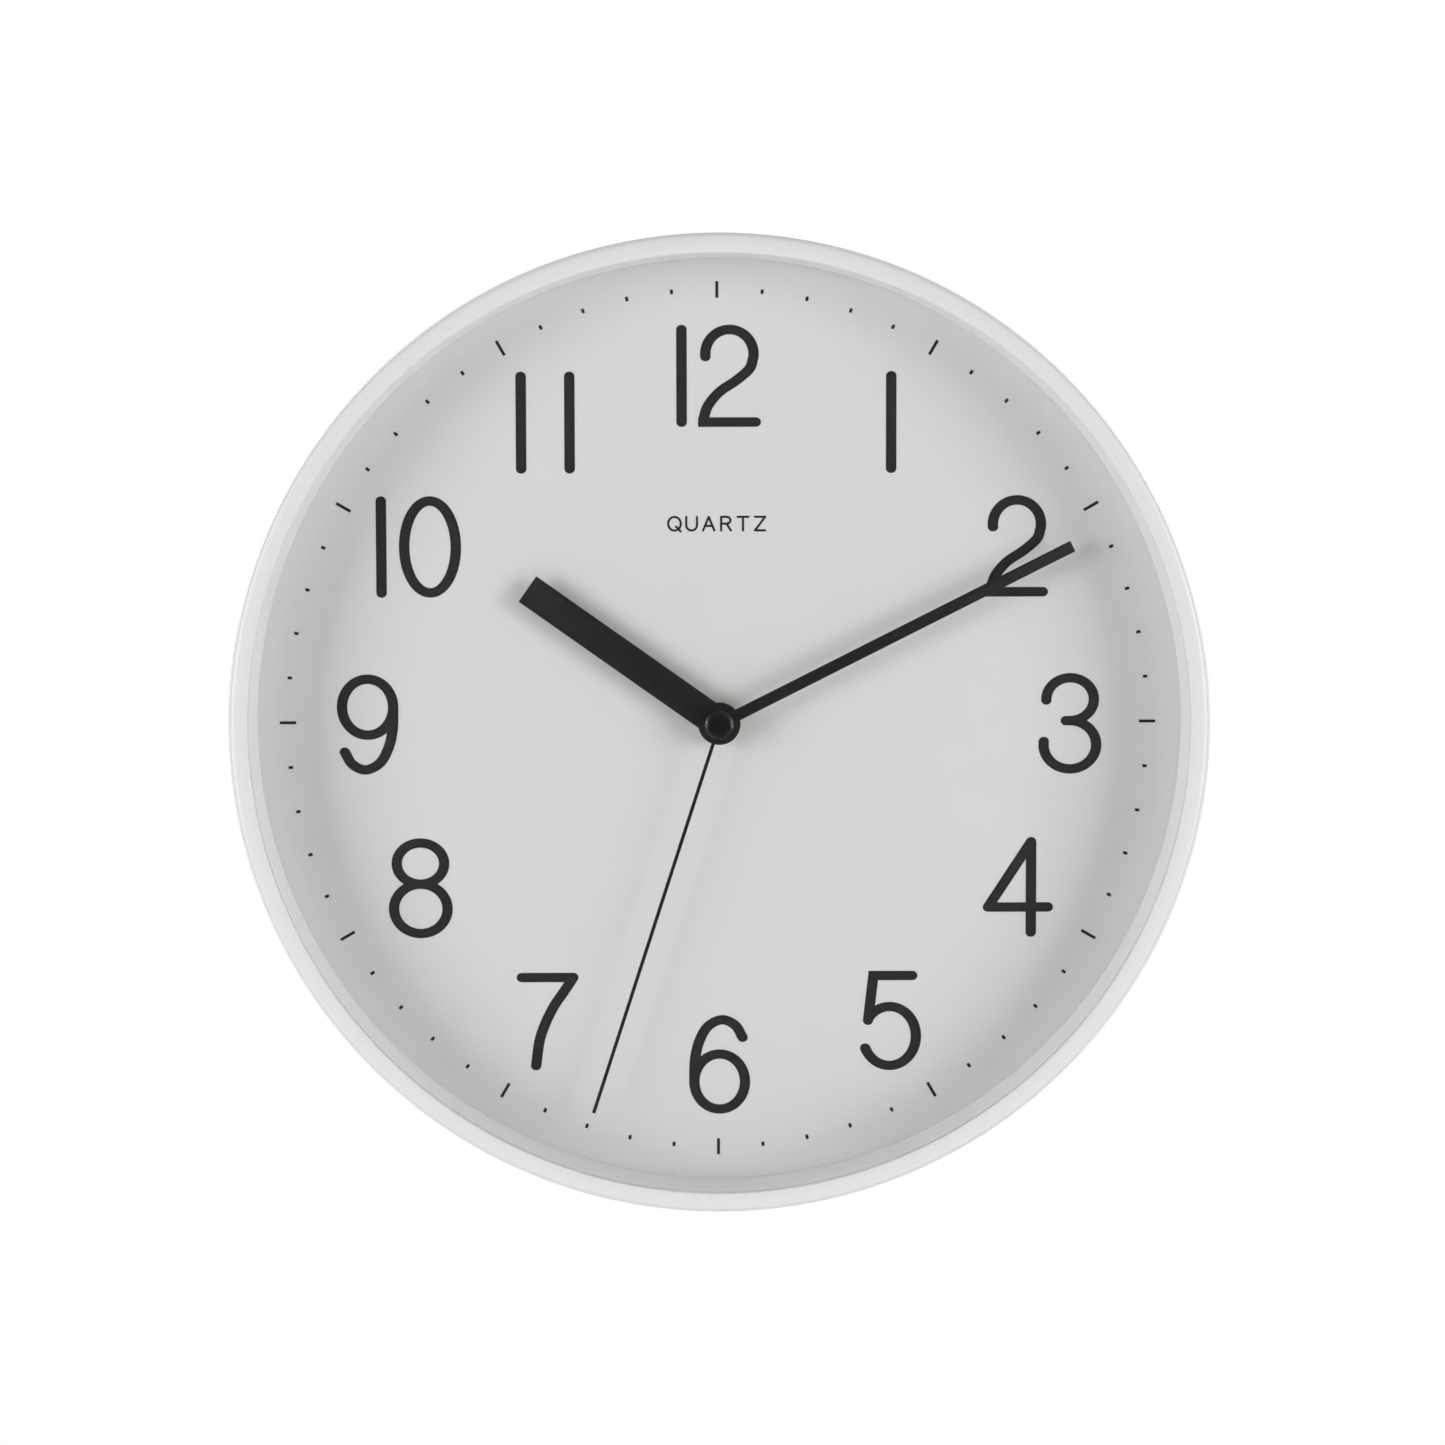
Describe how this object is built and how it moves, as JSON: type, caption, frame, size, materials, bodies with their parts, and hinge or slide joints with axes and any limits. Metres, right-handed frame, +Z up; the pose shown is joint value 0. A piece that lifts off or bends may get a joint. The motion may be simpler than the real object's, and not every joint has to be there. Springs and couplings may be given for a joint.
{
  "type": "wall clock",
  "caption": "Round white wall clock with flat glass, printed numerals, straight black hands and a battery quartz movement behind the dial.",
  "frame": {"origin": "where the axis of the hands meets the wall plane, which is the flat back edge of the rim", "axes": "+Z up towards 12 on the dial, +Y into the wall along the axis of the hands, so the dial faces -Y; +X towards 3 on the dial"},
  "size_m": [0.3, 0.042, 0.3],
  "materials": {
    "rim_white": "satin white moulded ABS",
    "lens": "clear flat mineral glass",
    "dial_white": "matt white printed plastic sheet",
    "back_white": "moulded, fine texture",
    "screw_steel": "zinc plated",
    "gear_white": "natural acetal",
    "gear_amber": "amber acetal",
    "magnet": "sintered, dull grey",
    "brass": "turned",
    "movement_black": "moulded, fine texture",
    "stator_steel": "stamped sheet",
    "copper_wire": "enamelled copper wire, wound",
    "board_green": "solder mask on glass laminate",
    "chip_black": "cured resin",
    "can_steel": "drawn can",
    "cell_wrap": "plain printed sleeve with steel ends",
    "spring_steel": "nickel plated strip",
    "rubber_black": "matt",
    "hand_black": "satin black on sheet aluminium",
    "cap_black": "satin black, turned edge"
  },
  "bodies": {
    "case": {"front_rim": "rim_white", "glass_lens": "lens", "spacer_ring": "rim_white", "dial_plate": "dial_white", "back_plate": "back_white", "case_screw_1": "screw_steel", "case_screw_2": "screw_steel", "case_screw_3": "screw_steel", "case_screw_4": "screw_steel", "case_screw_5": "screw_steel", "case_screw_6": "screw_steel", "movement_rear_case": "movement_black", "movement_front_case": "movement_black", "middle_plate": "movement_black", "stator": "stator_steel", "coil_bobbin": "gear_white", "coil_winding": "copper_wire", "circuit_board": "board_green", "chip_cover": "chip_black", "quartz_crystal": "can_steel", "positive_contact": "spring_steel", "negative_contact": "spring_steel", "centre_nut": "brass", "dial_washer": "brass", "rubber_washer": "rubber_black"},
    "minute_train": {"minute_hand": "hand_black", "cannon_pinion": "brass", "centre_wheel": "gear_white"},
    "hour_train": {"hour_hand": "hand_black", "hour_wheel": "gear_white"},
    "second_train": {"second_hand": "hand_black", "second_hand_cap": "cap_black", "second_wheel": "gear_white"},
    "third_train": {"third_wheel": "gear_amber"},
    "intermediate_train": {"intermediate_wheel": "gear_amber"},
    "rotor": {"rotor_pinion": "gear_white", "rotor_magnet": "magnet"},
    "minute_work": {"minute_work_wheel": "gear_amber"},
    "knob": {"setting_knob": "gear_white"},
    "battery": {"aa_battery": "cell_wrap"}
  },
  "joints": [
    {"name": "minute_hand_turn", "type": "hinge", "parent": "case", "child": "minute_train", "pos_m": [0, -0.01, 0], "axis": [0, 1, 0], "continuous": true},
    {"name": "hour_hand_turn", "type": "hinge", "parent": "case", "child": "hour_train", "pos_m": [0, -0.01, 0], "axis": [0, 1, 0], "continuous": true},
    {"name": "second_hand_turn", "type": "hinge", "parent": "case", "child": "second_train", "pos_m": [0, -0.01, 0], "axis": [0, 1, 0], "continuous": true},
    {"name": "third_wheel_turn", "type": "hinge", "parent": "case", "child": "third_train", "pos_m": [0.00867, -0.01, 0], "axis": [0, 1, 0], "continuous": true},
    {"name": "intermediate_wheel_turn", "type": "hinge", "parent": "case", "child": "intermediate_train", "pos_m": [-0.00779, -0.01, 0.0045], "axis": [0, 1, 0], "continuous": true},
    {"name": "rotor_turn", "type": "hinge", "parent": "case", "child": "rotor", "pos_m": [-0.01199, -0.01, 0.01177], "axis": [0, 1, 0], "continuous": true},
    {"name": "minute_work_turn", "type": "hinge", "parent": "case", "child": "minute_work", "pos_m": [0.004, -0.01, 0.00693], "axis": [0, 1, 0], "continuous": true},
    {"name": "setting_knob_turn", "type": "hinge", "parent": "case", "child": "knob", "pos_m": [0.01093, -0.01, 0.01093], "axis": [0, 1, 0], "continuous": true},
    {"name": "battery_slide", "type": "slide", "parent": "case", "child": "battery", "axis": [0, 1, 0], "range_m": [0, 0.03]}
  ],
  "couplings": [
    {"joint": "hour_hand_turn", "follows": "minute_hand_turn", "ratio": 0.083333},
    {"joint": "second_hand_turn", "follows": "minute_hand_turn", "ratio": 60},
    {"joint": "third_wheel_turn", "follows": "minute_hand_turn", "ratio": -8},
    {"joint": "intermediate_wheel_turn", "follows": "minute_hand_turn", "ratio": -300},
    {"joint": "rotor_turn", "follows": "minute_hand_turn", "ratio": 1800},
    {"joint": "minute_work_turn", "follows": "minute_hand_turn", "ratio": -0.33333},
    {"joint": "setting_knob_turn", "follows": "minute_hand_turn", "ratio": 1}
  ]
}
